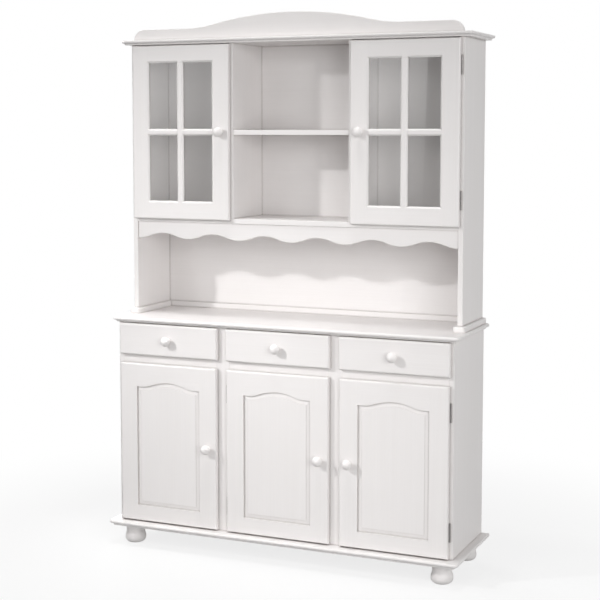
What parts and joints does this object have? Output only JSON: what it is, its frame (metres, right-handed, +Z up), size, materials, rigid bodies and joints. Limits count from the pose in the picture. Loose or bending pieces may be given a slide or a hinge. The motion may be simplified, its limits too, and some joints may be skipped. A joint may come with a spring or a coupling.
{
  "type": "dresser hutch",
  "caption": "White painted dresser: sideboard with drawers over panelled cupboards on bun feet, and a hutch with glazed doors, open shelf, scalloped apron and crest.",
  "frame": {"origin": "on the floor under the middle of the dresser's box", "axes": "+X to the right seen from the front, +Y from the doors to the back, +Z up"},
  "size_m": [1.35, 0.4004, 1.9519],
  "materials": {
    "white_paint": "satin white paint",
    "bare_pine": "bare sealed pine",
    "clear_glass": "clear",
    "hinge_metal": "dulled"
  },
  "bodies": {
    "carcass": {"base_floor": "white_paint", "base_top": "white_paint", "base_back": "white_paint", "base_side_left": "white_paint", "base_side_right": "white_paint", "base_partitions": "white_paint", "base_face_stiles": "white_paint", "base_face_rails": "white_paint", "base_shelves": "white_paint", "drawer_runners": "bare_pine", "bun_feet": "white_paint", "hutch_back_rail": "white_paint", "hutch_floor": "white_paint", "hutch_back": "white_paint", "hutch_centre_shelf": "white_paint", "hutch_cornice": "white_paint", "hutch_apron": "white_paint", "hutch_crest": "white_paint", "hutch_side_left": "white_paint", "hutch_side_right": "white_paint", "hutch_partitions": "white_paint", "hutch_side_shelves": "white_paint", "hutch_runners": "white_paint", "hinge_frame_leaves": "hinge_metal", "hinge_pins": "hinge_metal"},
    "drawer_left": {"left_drawer_front": "white_paint", "left_drawer_box": "bare_pine", "left_drawer_bottom": "bare_pine", "left_drawer_knob": "white_paint"},
    "drawer_middle": {"middle_drawer_front": "white_paint", "middle_drawer_box": "bare_pine", "middle_drawer_bottom": "bare_pine", "middle_drawer_knob": "white_paint"},
    "drawer_right": {"right_drawer_front": "white_paint", "right_drawer_box": "bare_pine", "right_drawer_bottom": "bare_pine", "right_drawer_knob": "white_paint"},
    "door_left": {"left_door_frame": "white_paint", "left_door_panel": "white_paint", "left_door_knob": "white_paint", "left_door_hinges": "hinge_metal"},
    "door_middle": {"middle_door_frame": "white_paint", "middle_door_panel": "white_paint", "middle_door_knob": "white_paint", "middle_door_hinges": "hinge_metal"},
    "door_right": {"right_door_frame": "white_paint", "right_door_panel": "white_paint", "right_door_knob": "white_paint", "right_door_hinges": "hinge_metal"},
    "glass_door_left": {"left_glass_door_frame": "white_paint", "left_glass_door_bars": "white_paint", "left_glass_door_pane": "clear_glass", "left_glass_door_knob": "white_paint", "left_glass_door_hinges": "hinge_metal"},
    "glass_door_right": {"right_glass_door_frame": "white_paint", "right_glass_door_bars": "white_paint", "right_glass_door_pane": "clear_glass", "right_glass_door_knob": "white_paint", "right_glass_door_hinges": "hinge_metal"}
  },
  "joints": [
    {"name": "drawer_left_slide", "type": "slide", "parent": "carcass", "child": "drawer_left", "axis": [0, -1, 0], "range_m": [0, 0.23]},
    {"name": "drawer_middle_slide", "type": "slide", "parent": "carcass", "child": "drawer_middle", "axis": [0, -1, 0], "range_m": [0, 0.23]},
    {"name": "drawer_right_slide", "type": "slide", "parent": "carcass", "child": "drawer_right", "axis": [0, -1, 0], "range_m": [0, 0.23]},
    {"name": "door_left_hinge", "type": "hinge", "parent": "carcass", "child": "door_left", "pos_m": [-0.6347, -0.1527, 0.3825], "axis": [0, 0, -1], "range_deg": [0, 105]},
    {"name": "door_middle_hinge", "type": "hinge", "parent": "carcass", "child": "door_middle", "pos_m": [-0.20003, -0.1527, 0.3825], "axis": [0, 0, -1], "range_deg": [0, 105]},
    {"name": "door_right_hinge", "type": "hinge", "parent": "carcass", "child": "door_right", "pos_m": [0.6347, -0.1527, 0.3825], "axis": [0, 0, 1], "range_deg": [0, 105]},
    {"name": "glass_door_left_hinge", "type": "hinge", "parent": "carcass", "child": "glass_door_left", "pos_m": [-0.6315, -0.0507, 1.532], "axis": [0, 0, -1], "range_deg": [0, 105]},
    {"name": "glass_door_right_hinge", "type": "hinge", "parent": "carcass", "child": "glass_door_right", "pos_m": [0.6315, -0.0507, 1.532], "axis": [0, 0, 1], "range_deg": [0, 105]}
  ]
}
